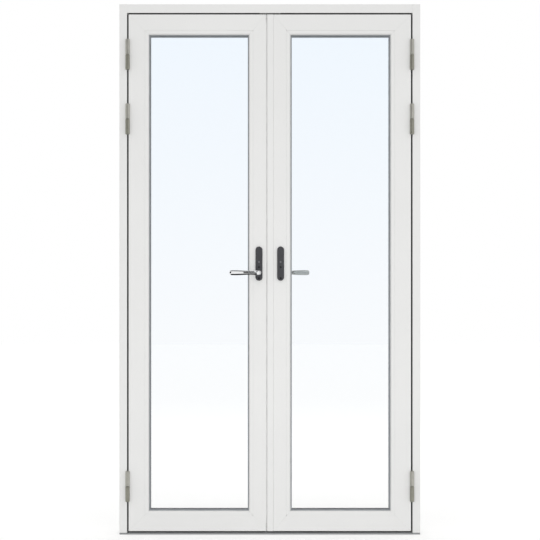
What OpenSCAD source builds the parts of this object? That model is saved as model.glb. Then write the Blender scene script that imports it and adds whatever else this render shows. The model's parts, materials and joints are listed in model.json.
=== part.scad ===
// French doors: two outward-opening glazed leaves in a frame with a low sill.
// Millimetres, +Z up. The origin is on the underside of the sill, at mid width and mid depth of the frame.
// The doors are seen from -Y, the side they open to.

/* [Frame] */
// Overall width of the frame
frame_w = 1180; // [1000:10:1400]
// Overall height of the frame
frame_h = 2080; // [1900:10:2300]
// Depth of the frame through the wall
frame_d = 115; // [105:1:150]
// Width of each jamb beside the leaves
jamb_face = 30; // [28:1:50]
// Height of the head above the leaves
head_face = 34; // [32:1:60]
// How far the stops reach behind the leaves
stop_lap = 15; // [13:1:20]
// Room for the seal between a leaf and the stops
seal_gap = 4; // [3:0.5:6]
// Height of the sill in front of its stop
sill_h = 8; // [7:1:20]
// Softening of the frame's and the leaves' edges
edge_soft = 1.2; // [0.5:0.1:1.4]
// Diameter of the fixing holes through the jambs
fixing_d = 10; // [6:1:12]
// Height of the lowest and depth of the highest fixing hole from the frame's ends
fixing_inset = 100; // [80:5:110]
// Distance between the two middle fixing holes
fixing_middle = 680; // [500:10:800]

/* [Leaves] */
// Thickness of a leaf
leaf_t = 60; // [58:1:68]
// Gap between a leaf and the frame at the sides and top
leaf_gap = 6; // [5.6:0.1:8]
// Gap between a leaf and the sill
floor_gap = 5; // [4:0.5:8]
// Gap between the left leaf and the meeting post
meeting_gap = 4.4; // [3.5:0.1:6]
// Width of the meeting post
post_w = 24.4; // [20:0.2:34]
// Width of the stiles on the hinge side
hinge_stile_w = 80; // [70:1:110]
// Width of the stiles on the lock side
lock_stile_w = 67; // [64:1:100]
// Height of the top and bottom rails
rail_h = 79; // [70:1:130]

/* [Glazing] */
// Height of the glass rebate, and width of the beads that close it
rebate_h = 16; // [15:1:16]
// Depth of the beads
bead_d = 16; // [12:1:18]
// Chamfer along the glass side of the beads
bead_chamfer = 4; // [2:0.5:6]
// Thickness of one pane
pane_t = 4; // [3:0.5:6]
// Distance between the panes
cavity_t = 20; // [14:1:20]
// Width of the edge spacer between the panes
spacer_w = 8; // [5:0.5:10]
// Room under and beside the glass in its rebate
glass_clearance = 4; // [3:0.5:5]
// Thickness of the glazing gaskets
gasket_t = 3; // [2:0.5:4]
// Width of gasket that shows beyond the beads
gasket_show = 5; // [3:0.5:7]

/* [Hinges] */
// Diameter of the hinge barrels
hinge_d = 17; // [15:0.5:20]
// Length of the hinge barrels
hinge_len = 120; // [90:2:140]
// Diameter of the hinge pins
hinge_pin_d = 9; // [7:0.5:10]
// Thickness of the hinge plates in the gap
hinge_plate_t = 2.4; // [2:0.1:2.6]
// Width of the hinge plates in the gap
hinge_plate_w = 38; // [30:1:44]
// Distance from the frame's top to the middle of the top hinge
top_hinge_drop = 198; // [185:1:215]
// Distance from the top hinge to the one below it
second_hinge_drop = 253; // [200:1:500]
// Height of the middle of the bottom hinge
bottom_hinge_z = 190; // [185:1:300]

/* [Handles] */
// Height of the levers' axis
lever_z = 1027; // [950:1:1100]
// Distance from a leaf's lock edge to the levers' axis
backset = 28; // [27:0.5:30]
// Width of the handle plates
plate_w = 27.5; // [26:0.5:34]
// Length of the handle plates
plate_h = 134; // [110:1:160]
// Reach of the handle plates below the levers' axis
plate_below = 31.5; // [29:0.5:50]
// Thickness of the handle plates
plate_t = 8; // [6:0.5:12]
// Distance between the plates' two screws
screw_spacing = 43; // [38:1:46]
// Length of a lever from its axis to its tip
lever_len = 116; // [90:1:140]
// Distance from a plate to the middle of the lever's grip
lever_out = 40; // [34:1:55]
// Diameter of a lever's neck in the plate
neck_d = 18; // [15:1:20]
// Height of a lever's grip
grip_h = 20; // [16:1:24]
// Thickness of a lever's grip
grip_t = 11; // [9:0.5:14]
// Width across the square spindle
spindle_w = 8; // [7:0.5:9]

/* [Lock] */
// Module of the pinion and racks
gear_module = 1.75; // [1.6:0.05:1.8]
// Number of teeth on the pinion
gear_teeth = 12; // [12:1:12]
// Width of a rod under the faceplate
rod_w = 13; // [11:0.5:13]
// Thickness of a rod
rod_t = 3; // [2:0.25:4]
// Diameter of the shoot bolts
bolt_d = 12; // [10:0.5:13]
// Length of a shoot bolt
bolt_len = 60; // [40:2:90]
// Width of the faceplates
faceplate_w = 20; // [18:0.5:24]
// Thickness of the faceplates
faceplate_t = 2.5; // [2:0.25:3]

/* [Hidden] */
$fn = 48;
LEFT = 0;
RIGHT = 1;
EPS = 0.01;

// Colours
white_c = "#E8E8E8";
steel_c = "#A8A8A0";
plate_c = "#4C4C50";
chrome_c = "#C8CACC";
seal_c = "#3A3A3C";
glass_c = [0.86, 0.93, 1.0, 0.35];

// Clearances
running_fit = 0.05;
free_fit = 0.4;
bolt_fit = 0.6;
swing_fit = 0.3;
halves_gap = 0.5;
barrel_gap = 0.5;
recess_fit = 0.1;
bolt_inset = 0.2;
groove_fit = 0.8;
bore_room = 6;

// Depths, from the face of the frame at the front to its back
front_y = -frame_d / 2;
back_y = frame_d / 2;
leaf_back_y = front_y + leaf_t;
stop_y = leaf_back_y + seal_gap;
mid_y = front_y + leaf_t / 2;

// Frame
half_w = frame_w / 2;
jamb_x = -half_w + jamb_face;
stop_x = jamb_x + leaf_gap + stop_lap;
head_z = frame_h - head_face;
head_stop_z = head_z - leaf_gap - stop_lap;
sill_lap_cut = 2;
sill_stop_z = sill_h + floor_gap + stop_lap - sill_lap_cut;
sill_nose = 2;
tread_grooves = 8;
tread_pitch = (back_y - stop_y) / (tread_grooves + 0.5);
tread_w = tread_pitch / 2;
tread_depth = 1.5;
fixing_z = [fixing_inset, (frame_h - fixing_middle) / 2, (frame_h + fixing_middle) / 2, frame_h - fixing_inset];
seal_w = 9;
seal_margin = 2;

// Left leaf: lock edge, hinge edge, bottom and top. The right leaf is its mirror image.
lock_x = -(post_w + meeting_gap) / 2;
hinge_x = jamb_x + leaf_gap;
leaf_z0 = sill_h + floor_gap;
leaf_z1 = head_z - leaf_gap;
glass_x0 = hinge_x + hinge_stile_w;
glass_x1 = lock_x - lock_stile_w;
glass_z0 = leaf_z0 + rail_h;
glass_z1 = leaf_z1 - rail_h;

// Hinge axis, in front of the gap between jamb and leaf
axis_x = hinge_x - leaf_gap / 2;
axis_y = front_y - hinge_d / 2 - barrel_gap;
hinge_plate_y = front_y + 1.5;
barrel_chamfer = 1.5;
pin_end = 10;
top_hinge_z = frame_h - top_hinge_drop;
hinge_zs = [bottom_hinge_z, top_hinge_z - second_hinge_drop, top_hinge_z];

// The meeting post and its seal, on the right leaf. They may reach as far left as still clears
// the front corner of the closed left leaf when the right leaf swings.
post_x0 = lock_x + meeting_gap;
post_x1 = -lock_x;
meeting_seal_y = front_y + 6;
meeting_seal_t = 4;
meeting_seal_root = 4;
right_swing_r = norm([-axis_x - lock_x, front_y - axis_y]) - swing_fit;
function right_reach(y) = -axis_x - sqrt(pow(right_swing_r, 2) - pow(y - axis_y, 2));
post_back_x = max(post_x0, right_reach(leaf_back_y));
meeting_seal_x = right_reach(meeting_seal_y + meeting_seal_t);

// The left lock edge is cut back towards the rear, to clear that seal when the left leaf swings
left_swing_r = norm([meeting_seal_x - axis_x, meeting_seal_y - axis_y]) - swing_fit;
function left_reach(y) = axis_x + sqrt(pow(left_swing_r, 2) - pow(y - axis_y, 2));
leaf_relief = max(0, lock_x - left_reach(leaf_back_y));

// Glazing, from the bead at the front to the fixed lip at the back
glass_y0 = front_y + bead_d + gasket_t;
glass_y1 = glass_y0 + 2 * pane_t + cavity_t;
lip_y = glass_y1 + gasket_t;
glass_cover = rebate_h - glass_clearance;
bead_step = 1;
bead_joint = 0.2;
block_len = 100;
block_inset = 60;

// Lock, measured as depths from the lock edge
least_recess = 3.4;
plate_recess = max(leaf_relief * (leaf_t + faceplate_w) / 2 / leaf_t, least_recess) + recess_fit;
rod_u0 = plate_recess + faceplate_t + free_fit;
rod_u1 = rod_u0 + rod_t;
bolt_u = rod_u0 + bolt_d / 2 + bolt_inset;
groove_u = bolt_u + bolt_d / 2 + groove_fit;
groove_w = max(rod_w + 3, bolt_d + 2);
lever_x = lock_x - backset;
bolt_x = lock_x - bolt_u;
pitch_r = gear_module * gear_teeth / 2;
bolt_travel = pitch_r * PI / 2;
tooth_add = gear_module;
tooth_ded = 1.25 * gear_module;
tooth_pitch = PI * gear_module;
pressure_angle = 25;
tooth_backlash = 0.3;
base_r = pitch_r * cos(pressure_angle);
gear_w = 9;
rack_back_t = 3.2;
rack_end = 8;
hub_d = 15;
case_wall = 1.5;
case_t = rod_w + 2 * (case_wall + free_fit) + 0.2;
case_u1 = backset + pitch_r + tooth_ded + rack_back_t + free_fit + case_wall;
case_up = 46;
case_down = 70;
bridge_h = 8;
bridge_drop = bolt_travel + rack_end + bore_room;
top_bolt_set = 0.5;
sill_bolt_set = 5;
keep_t = 3;
keep_w = 26;
keep_margin = 14;
keep_bore_top = bolt_travel + bore_room;
keep_bore_sill = sill_h - 1;
bolt_bore_d = bolt_d + 2 * bolt_fit;
spindle_bore_d = spindle_w * sqrt(2) + 4;
screw_d = 5;
screw_hole_d = 6;
screw_head_d = 8;
screw_head_h = 2.5;
screw_sink = 1;
plate_round = 2.5;
spot_up = 42;
spot_d = 7;
spot_proud = 0.4;
neck_gap = 0.4;
socket_depth = 14;

// Placing

// Everything is drawn for the left side, and mirrored for the right
module on_side(side) {
    if (side == LEFT) children();
    else mirror([1, 0, 0]) children();
}

// A block between two corners
module block(low, high) {
    translate(low) cube(high - low);
}

// Extrudes a plan drawn in (x, y) from z0 to z1
module upright(z0, z1) {
    translate([0, 0, z0]) linear_extrude(z1 - z0) children();
}

// Extrudes a section drawn in (y, z) from x0 to x1
module across(x0, x1) {
    translate([x0, 0, 0]) rotate([90, 0, 90]) linear_extrude(x1 - x0) children();
}

// Extrudes an elevation drawn in (x, z) from y0 to y1
module through(y0, y1) {
    translate([0, y1, 0]) rotate([90, 0, 0]) linear_extrude(y1 - y0) children();
}

// A rectangle between two corners
module rect(low, high) {
    translate(low) square(high - low);
}

// Frame

module jamb_plan() {
    polygon([
        [-half_w, front_y + edge_soft], [-half_w + edge_soft, front_y],
        [jamb_x - edge_soft, front_y], [jamb_x, front_y + edge_soft], [jamb_x, stop_y],
        [stop_x, stop_y], [stop_x, back_y], [-half_w, back_y]
    ]);
}

module jamb(side) {
    color(white_c) on_side(side) difference() {
        upright(0, frame_h) jamb_plan();
        for (z = fixing_z)
            translate([-half_w - 1, mid_y, z]) rotate([0, 90, 0]) cylinder(d = fixing_d, h = jamb_face + 2);
    }
}

// Plan of the room between the jambs, which the head and the sill fill from jamb to jamb
module between_jambs_plan() {
    polygon([
        [jamb_x, front_y], [-jamb_x, front_y], [-jamb_x, stop_y], [-stop_x, stop_y],
        [-stop_x, back_y], [stop_x, back_y], [stop_x, stop_y], [jamb_x, stop_y]
    ]);
}

module head() {
    color(white_c) difference() {
        intersection() {
            across(-half_w, half_w) polygon([
                [front_y + edge_soft, frame_h], [front_y, frame_h - edge_soft],
                [front_y, head_z + edge_soft], [front_y + edge_soft, head_z], [stop_y, head_z],
                [stop_y, head_stop_z], [back_y, head_stop_z], [back_y, frame_h]
            ]);
            upright(0, frame_h) between_jambs_plan();
        }
        keep_blank(head_z, head_z + keep_t);
        for (side = [LEFT, RIGHT])
            on_side(side) bolt_bore(head_z, head_z + keep_bore_top);
    }
}

// The sill has a bevelled nose, a low front that the leaves pass over, and a ribbed tread behind them
module sill() {
    color("#77797B") difference() {
        intersection() {
            across(-half_w, half_w) polygon(concat(
                [[front_y, 0], [front_y, sill_h - sill_nose], [front_y + sill_nose, sill_h], [stop_y, sill_h],
                 [stop_y, sill_stop_z]],
                [for (i = [0 : tread_grooves - 1], p = tread_groove(i)) p],
                [[back_y, sill_stop_z], [back_y, 0]]
            ));
            upright(0, frame_h) between_jambs_plan();
        }
        keep_blank(sill_h - keep_t, sill_h);
        for (side = [LEFT, RIGHT])
            on_side(side) bolt_bore(sill_h - keep_bore_sill, sill_h);
    }
}

// Outline of one groove of the tread, from front to back
function tread_groove(i) =
    let (y = stop_y + (i + 0.5) * tread_pitch)
    [[y, sill_stop_z], [y, sill_stop_z - tread_depth],
     [y + tread_w, sill_stop_z - tread_depth], [y + tread_w, sill_stop_z]];

// One bulb seal runs round the stops, behind both leaves
module frame_seal() {
    outer_x = -(hinge_x + seal_margin);
    low_z = leaf_z0 + seal_margin;
    high_z = leaf_z1 - seal_margin;
    color(seal_c) through(stop_y - seal_gap + free_fit, stop_y) difference() {
        rect([-outer_x, low_z], [outer_x, high_z]);
        rect([-outer_x + seal_w, low_z + seal_w], [outer_x - seal_w, high_z - seal_w]);
    }
}

module keep_blank(z0, z1) {
    reach = -bolt_x + keep_margin;
    block([-reach, mid_y - keep_w / 2, z0], [reach, mid_y + keep_w / 2, z1]);
}

module bolt_bore(z0, z1) {
    translate([bolt_x, mid_y, z0]) cylinder(d = bolt_bore_d, h = z1 - z0);
}

module keep(z0, z1) {
    color(steel_c) difference() {
        keep_blank(z0, z1);
        for (side = [LEFT, RIGHT])
            on_side(side) bolt_bore(z0 - 1, z1 + 1);
    }
}

module head_keep() {
    keep(head_z, head_z + keep_t);
}

module sill_keep() {
    keep(sill_h - keep_t, sill_h);
}

// Hinges: the frame half has the lower knuckle, the leaf half the upper one

// A turned knuckle with softened ends
module knuckle(z0, z1) {
    r = hinge_d / 2;
    c = barrel_chamfer;
    translate([axis_x, axis_y, 0]) rotate_extrude()
        polygon([[0, z0], [r - c, z0], [r, z0 + c], [r, z1 - c], [r - c, z1], [0, z1]]);
}

module hinge_bore(z0, z1, d) {
    translate([axis_x, axis_y, z0]) cylinder(d = d, h = z1 - z0);
}

// A plate in the gap with a tongue out to its knuckle
module hinge_plate(x0, z, tongue_z0, tongue_z1) {
    x1 = x0 + hinge_plate_t;
    block([x0, hinge_plate_y, z - hinge_len / 2], [x1, hinge_plate_y + hinge_plate_w, z + hinge_len / 2]);
    block([x0, axis_y, tongue_z0], [x1, hinge_plate_y, tongue_z1]);
}

module frame_hinges(side) {
    color(steel_c) on_side(side) for (z = hinge_zs) {
        low = z - hinge_len / 2;
        high = z - halves_gap / 2;
        difference() {
            union() {
                knuckle(low, high);
                hinge_plate(jamb_x, z, low + barrel_chamfer, high - barrel_chamfer);
            }
            hinge_bore(low + pin_end, high + 1, hinge_pin_d);
        }
    }
}

module leaf_hinges(side) {
    color(steel_c) on_side(side) for (z = hinge_zs) {
        low = z + halves_gap / 2;
        high = z + hinge_len / 2;
        difference() {
            union() {
                knuckle(low, high);
                hinge_plate(hinge_x - hinge_plate_t, z, low + barrel_chamfer, high - barrel_chamfer);
            }
            hinge_bore(low - 1, high - pin_end, hinge_pin_d + 2 * running_fit);
        }
    }
}

module hinge_pins(side) {
    color("#C0C0BC") on_side(side) for (z = hinge_zs)
        hinge_bore(z - hinge_len / 2 + pin_end, z + hinge_len / 2 - pin_end - 1, hinge_pin_d);
}

// Leaf frame

// Plan of a leaf, with the lock edge cut back towards the rear
module leaf_plan(relief) {
    polygon([
        [hinge_x, front_y], [lock_x, front_y], [lock_x - relief, leaf_back_y], [hinge_x, leaf_back_y]
    ]);
}

function relief_of(side) = side == LEFT ? leaf_relief : 0;

// Section of a stile or rail: a solid front, an open rebate for the glass, a fixed lip at the back.
// It is drawn from the outer edge at 0 to the glass at w.
function member_section(w) = [
    [0, front_y + edge_soft], [edge_soft, front_y], [w - rebate_h, front_y], [w - rebate_h, lip_y],
    [w, lip_y], [w, leaf_back_y], [edge_soft, leaf_back_y], [0, leaf_back_y - edge_soft]
];

module hinge_stile(side) {
    color(white_c) on_side(side) intersection() {
        upright(leaf_z0, leaf_z1) translate([hinge_x, 0]) polygon(member_section(hinge_stile_w));
        through(front_y, leaf_back_y) polygon([
            [hinge_x, leaf_z0], [glass_x0, glass_z0], [glass_x0, glass_z1], [hinge_x, leaf_z1]
        ]);
    }
}

module lock_stile(side) {
    color(white_c) on_side(side) difference() {
        intersection() {
            upright(leaf_z0, leaf_z1) translate([lock_x, 0]) mirror([1, 0]) polygon(member_section(lock_stile_w));
            through(front_y, leaf_back_y) polygon([
                [lock_x, leaf_z0], [glass_x1, glass_z0], [glass_x1, glass_z1], [lock_x, leaf_z1]
            ]);
            upright(leaf_z0, leaf_z1) leaf_plan(relief_of(side));
        }
        lock_groove();
        case_mortise();
        lever_drilling(front_y - 1, leaf_back_y + 1);
    }
}

// A rail from its outer edge to the glass, turned over where the outer edge is the higher one
module rail_body(side, outer_z, inner_z) {
    up = inner_z > outer_z ? 1 : -1;
    difference() {
        intersection() {
            across(hinge_x, lock_x)
                polygon([for (p = member_section(rail_h)) [p[1], outer_z + up * p[0]]]);
            through(front_y, leaf_back_y) polygon([
                [hinge_x, outer_z], [glass_x0, inner_z], [glass_x1, inner_z], [lock_x, outer_z]
            ]);
            upright(leaf_z0, leaf_z1) leaf_plan(relief_of(side));
        }
        lock_groove();
    }
}

module bottom_rail(side) {
    color(white_c) on_side(side) rail_body(side, leaf_z0, glass_z0);
}

module top_rail(side) {
    color(white_c) on_side(side) rail_body(side, leaf_z1, glass_z1);
}

// The post is carried by the lock edge of the right leaf, and closes the gap between the leaves
module meeting_post() {
    color(white_c) difference() {
        upright(leaf_z0, leaf_z1) polygon([
            [post_x0, front_y + edge_soft], [post_x0 + edge_soft, front_y],
            [post_x1 - edge_soft, front_y], [post_x1, front_y + edge_soft],
            [post_x1, leaf_back_y], [post_back_x, leaf_back_y]
        ]);
        block([post_x0 - 1, meeting_seal_y, leaf_z0 - 1],
              [post_x0 + meeting_seal_root, meeting_seal_y + meeting_seal_t, leaf_z1 + 1]);
    }
}

module meeting_seal() {
    color(seal_c) block([meeting_seal_x, meeting_seal_y, leaf_z0],
                        [post_x0 + meeting_seal_root, meeting_seal_y + meeting_seal_t, leaf_z1]);
}

// Glazing

// Section of a bead: stepped back a little from the stile, chamfered towards the glass
function bead_section(w) = [
    [w - rebate_h, front_y + bead_step], [w - bead_chamfer, front_y + bead_step],
    [w, front_y + bead_step + bead_chamfer], [w, front_y + bead_d], [w - rebate_h, front_y + bead_d]
];

// One bead along x, mitred at both ends
module rail_bead(outer_z, inner_z) {
    up = inner_z > outer_z ? 1 : -1;
    intersection() {
        across(hinge_x, lock_x)
            polygon([for (p = bead_section(rail_h)) [p[1], outer_z + up * p[0]]]);
        through(front_y, leaf_back_y) polygon([
            [glass_x0 - rebate_h + bead_joint, inner_z - up * rebate_h], [glass_x0 + bead_joint, inner_z],
            [glass_x1 - bead_joint, inner_z], [glass_x1 + rebate_h - bead_joint, inner_z - up * rebate_h]
        ]);
    }
}

// One bead along z, mitred at both ends
module stile_bead(outer_x, inner_x, w) {
    out = inner_x > outer_x ? 1 : -1;
    intersection() {
        upright(leaf_z0, leaf_z1)
            polygon([for (p = bead_section(w)) [outer_x + out * p[0], p[1]]]);
        through(front_y, leaf_back_y) polygon([
            [inner_x - out * rebate_h, glass_z0 - rebate_h], [inner_x, glass_z0],
            [inner_x, glass_z1], [inner_x - out * rebate_h, glass_z1 + rebate_h]
        ]);
    }
}

module glazing_beads(side) {
    color(white_c) on_side(side) {
        rail_bead(leaf_z0, glass_z0);
        rail_bead(leaf_z1, glass_z1);
        stile_bead(hinge_x, glass_x0, hinge_stile_w);
        stile_bead(lock_x, glass_x1, lock_stile_w);
    }
}

// The glass opening, grown outwards on all sides
module glass_rect(grow) {
    rect([glass_x0 - grow, glass_z0 - grow], [glass_x1 + grow, glass_z1 + grow]);
}

module glass_ring(y0, y1, outer, inner) {
    through(y0, y1) difference() {
        glass_rect(outer);
        glass_rect(inner);
    }
}

// One gasket before the glass, with a lip that shows, and one behind it
module gaskets(side) {
    color(seal_c) on_side(side) {
        glass_ring(glass_y0 - gasket_t, glass_y0, glass_cover, -gasket_show);
        glass_ring(glass_y1, glass_y1 + gasket_t, glass_cover, -gasket_show);
    }
}

module outer_pane(side) {
    color(glass_c) on_side(side) through(glass_y0, glass_y0 + pane_t) glass_rect(glass_cover);
}

module inner_pane(side) {
    color(glass_c) on_side(side) through(glass_y1 - pane_t, glass_y1) glass_rect(glass_cover);
}

module spacer(side) {
    color("#8A8E92") on_side(side)
        glass_ring(glass_y0 + pane_t, glass_y1 - pane_t, glass_cover, glass_cover - spacer_w);
}

// Two blocks carry the glass unit on the bottom of its rebate
module setting_blocks(side) {
    color("#505458") on_side(side)
        for (x = [glass_x0 + block_inset, glass_x1 - block_inset - block_len])
            block([x, glass_y0, glass_z0 - rebate_h], [x + block_len, glass_y1, glass_z0 - glass_cover]);
}

// Handle plates

// A plate with round ends and softened edges, its back at y = 0 and its face at y = -plate_t
module plate_body() {
    r = plate_w / 2;
    straight = plate_h - plate_w;
    translate([0, 0, -plate_below + r]) {
        linear_extrude(straight) polygon([for (s = [1, -1], p = plate_edge(s)) p]);
        for (z = [0, straight])
            translate([0, 0, z]) rotate([90, 0, 0]) rotate_extrude()
                polygon(concat([[0, 0]], [for (p = plate_edge(1)) [p[0], -p[1]]], [[0, plate_t]]));
    }
}

// Half the outline of a plate's section: side 1 from the back to the face, side -1 from the face to the back
function plate_edge(side) =
    let (r = plate_w / 2, c = plate_round, steps = 4)
    let (edge = concat([[r, 0]], [for (i = [0 : steps])
        [r - c + c * cos(i * 90 / steps), -plate_t + c - c * sin(i * 90 / steps)]]))
    side > 0 ? edge : [for (i = [len(edge) - 1 : -1 : 0]) [-edge[i][0], edge[i][1]]];

// A plate with its screw holes. A lever's neck needs a bore, and a blank plate has none
module handle_plate(with_neck, with_heads) {
    difference() {
        union() {
            plate_body();
            translate([0, -plate_t, spot_up]) rotate([90, 0, 0]) cylinder(d = spot_d, h = spot_proud);
        }
        if (with_neck)
            translate([0, 1, 0]) rotate([90, 0, 0]) cylinder(d = neck_d + 2 * running_fit, h = plate_t + 2);
        for (z = [-screw_spacing / 2, screw_spacing / 2]) translate([0, 0, z]) {
            translate([0, 1, 0]) rotate([90, 0, 0]) cylinder(d = screw_hole_d, h = plate_t + 2);
            if (with_heads)
                translate([0, -plate_t + screw_sink + screw_head_h, 0]) rotate([90, 0, 0])
                    cylinder(d = screw_head_d + free_fit, h = screw_sink + screw_head_h + 1);
        }
    }
}

module at_lever_front() {
    translate([lever_x, front_y, lever_z]) children();
}

// The far side is the near side turned over, back to front
module at_lever_back() {
    translate([lever_x, leaf_back_y, lever_z]) mirror([0, 1, 0]) children();
}

module outer_plate(side) {
    color(plate_c) on_side(side) at_lever_front() handle_plate(side == LEFT, true);
}

module inner_plate(side) {
    color(plate_c) on_side(side) at_lever_back() handle_plate(true, true);
}

// Two sleeve screws hold the plates together through the stile, one head in each plate
module plate_screws(side) {
    head_y = plate_t - screw_sink;
    color("#8C8C8C") on_side(side) translate([lever_x, 0, lever_z])
        for (z = [-screw_spacing / 2, screw_spacing / 2]) translate([0, 0, z]) {
            translate([0, leaf_back_y + head_y, 0]) rotate([90, 0, 0])
                cylinder(d = screw_d, h = leaf_t + 2 * head_y);
            for (y = [front_y - head_y, leaf_back_y + head_y - screw_head_h])
                translate([0, y + screw_head_h, 0]) rotate([90, 0, 0])
                    cylinder(d = screw_head_d, h = screw_head_h);
        }
}

// Levers

// One cross-section of the lever's arm, across the lever at x, with its middle at y
module arm_slice(x, y, h, t) {
    slice_t = 1;
    translate([x, y, 0]) rotate([0, 90, 0])
        scale([h / t, 1, 1]) cylinder(d = t, h = slice_t, center = true, $fn = 28);
}

// A lever that points to the hinge side: a round neck, a bend, a waist and a wider grip
module lever_body() {
    out = -plate_t - lever_out;
    slices = [
        [-2, out, neck_d * 0.80, grip_t * 1.05],
        [-lever_len * 0.28, out, grip_h * 0.66, grip_t * 1.0],
        [-lever_len * 0.52, out, grip_h * 0.88, grip_t * 0.92],
        [-lever_len * 0.78, out, grip_h, grip_t * 0.85],
        [-lever_len + 5, out, grip_h * 0.94, grip_t * 0.78],
        [-lever_len + 0.5, out, grip_h * 0.62, grip_t * 0.5]
    ];
    for (i = [0 : len(slices) - 2]) hull() {
        arm_slice(slices[i][0], slices[i][1], slices[i][2], slices[i][3]);
        arm_slice(slices[i + 1][0], slices[i + 1][1], slices[i + 1][2], slices[i + 1][3]);
    }
    difference() {
        translate([0, out, 0]) rotate([-90, 0, 0]) cylinder(d = neck_d, h = lever_out + plate_t - neck_gap);
        spindle_socket();
    }
    translate([0, out, 0]) sphere(d = neck_d);
}

module spindle_socket() {
    w = spindle_w + 2 * running_fit;
    block([-w / 2, -socket_depth - running_fit, -w / 2], [w / 2, 1, w / 2]);
}

module outer_lever(side) {
    color(chrome_c) on_side(side) at_lever_front() lever_body();
}

module inner_lever(side) {
    color(chrome_c) on_side(side) at_lever_back() lever_body();
}

// The left spindle works from both sides, the right one only from the far side
module spindle(side) {
    y0 = side == LEFT ? front_y - socket_depth : mid_y - case_t / 2;
    w = spindle_w / 2;
    color(steel_c) on_side(side)
        block([lever_x - w, y0, lever_z - w], [lever_x + w, leaf_back_y + socket_depth, lever_z + w]);
}

// Lock: a pinion on the spindle drives one rack up and one down

// Groove along the lock edge for the rods, with a rebate for the faceplate
module lock_groove() {
    block([lock_x - groove_u, mid_y - groove_w / 2, leaf_z0 - 1], [lock_x + 1, mid_y + groove_w / 2, leaf_z1 + 1]);
    block([lock_x - plate_recess - faceplate_t, mid_y - faceplate_w / 2, leaf_z0 - 1],
          [lock_x + 1, mid_y + faceplate_w / 2, leaf_z1 + 1]);
}

module case_mortise() {
    t = case_t / 2 + free_fit / 2;
    block([lock_x - case_u1, mid_y - t, lever_z - case_down], [lock_x - rod_u0, mid_y + t, lever_z + case_up]);
}

// Holes through the stile for the spindle and the plate screws
module lever_drilling(y0, y1) {
    plate_screw_bores(y0, y1);
    translate([lever_x, y1, lever_z]) rotate([90, 0, 0]) cylinder(d = spindle_bore_d, h = y1 - y0);
}

module faceplate(side) {
    color(steel_c) on_side(side)
        block([lock_x - plate_recess - faceplate_t, mid_y - faceplate_w / 2, leaf_z0],
              [lock_x - plate_recess, mid_y + faceplate_w / 2, leaf_z1]);
}

// The case is a tray: a wall behind, one at the inner side, and end walls that the rods pass in front of
module gear_case(side) {
    x0 = lock_x - case_u1;
    x1 = lock_x - rod_u1 - free_fit;
    y0 = mid_y - case_t / 2 + case_wall;
    y1 = mid_y + case_t / 2;
    z0 = lever_z - case_down;
    z1 = lever_z + case_up;
    color("#B0B2B4") on_side(side) difference() {
        block([x0, y0, z0], [x1, y1, z1]);
        block([x0 + case_wall, y0 - 1, z0 + case_wall], [x1 + 1, y1 - case_wall, z1 - case_wall]);
        hub_bore(y1 - case_wall - 1, y1 + 1);
        plate_screw_bores(y0, y1 + 1);
    }
}

module gear_cover(side) {
    y0 = mid_y - case_t / 2;
    color("#B0B2B4") on_side(side) difference() {
        block([lock_x - case_u1, y0, lever_z - case_down], [lock_x - rod_u0, y0 + case_wall, lever_z + case_up]);
        hub_bore(y0 - 1, y0 + case_wall + 1);
        plate_screw_bores(y0 - 1, y0 + case_wall + 1);
    }
}

module hub_bore(y0, y1) {
    translate([lever_x, y1, lever_z]) rotate([90, 0, 0]) cylinder(d = hub_d + 2 * running_fit, h = y1 - y0);
}

module plate_screw_bores(y0, y1) {
    for (z = [-screw_spacing / 2, screw_spacing / 2])
        translate([lever_x, y1, lever_z + z]) rotate([90, 0, 0]) cylinder(d = screw_hole_d, h = y1 - y0);
}

// Angle, in degrees, by which an involute has turned at radius r
function involute_turn(r) =
    let (a = acos(base_r / r)) tan(a) * 180 / PI - a;

// Half the angle of a tooth at radius r: its thickness at the pitch circle, less the involute's turn
function half_tooth(r) =
    (tooth_pitch / 2 - tooth_backlash) / 2 / pitch_r * 180 / PI
    + involute_turn(pitch_r) - involute_turn(max(r, base_r));

function polar(r, a) = [r * cos(a), r * sin(a)];

// Outline of the pinion, tooth by tooth, from root to tip and back
module pinion_outline() {
    tip_r = pitch_r + tooth_add;
    root_r = pitch_r - tooth_ded;
    steps = 4;
    radii = concat([root_r], [for (i = [0 : steps]) base_r + (tip_r - base_r) * i / steps]);
    polygon([
        for (tooth = [0 : gear_teeth - 1])
            let (middle = tooth * 360 / gear_teeth)
            each concat(
                [for (i = [0 : len(radii) - 1]) polar(radii[i], middle - half_tooth(radii[i]))],
                [for (i = [len(radii) - 1 : -1 : 0]) polar(radii[i], middle + half_tooth(radii[i]))]
            )
    ]);
}

module pinion(side) {
    w = spindle_w / 2 + running_fit;
    color("#A09A88") on_side(side) translate([lever_x, 0, lever_z]) difference() {
        union() {
            through(mid_y - gear_w / 2, mid_y + gear_w / 2) pinion_outline();
            translate([0, mid_y + case_t / 2, 0]) rotate([90, 0, 0]) cylinder(d = hub_d, h = case_t);
        }
        block([-w, mid_y - case_t, -w], [w, mid_y + case_t, w]);
    }
}

// A rack with its pitch line at x = 0 and its teeth towards +x, from z0 to z1. A tooth space is at z = 0
module rack(z0, z1, back) {
    flank = tan(pressure_angle);
    half = tooth_pitch / 4 - tooth_backlash / 2;
    first = ceil((z0 - tooth_pitch / 2 + half + flank * tooth_ded) / tooth_pitch);
    last = floor((z1 - tooth_pitch / 2 - half - flank * tooth_ded) / tooth_pitch);
    through(mid_y - gear_w / 2, mid_y + gear_w / 2) {
        rect([-back, z0], [-tooth_ded, z1]);
        for (i = [first : last]) translate([0, (i + 0.5) * tooth_pitch]) polygon([
            [-tooth_ded - EPS, -half - flank * tooth_ded], [tooth_add, -half + flank * tooth_add],
            [tooth_add, half - flank * tooth_add], [-tooth_ded - EPS, half + flank * tooth_ded]
        ]);
    }
}

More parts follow.
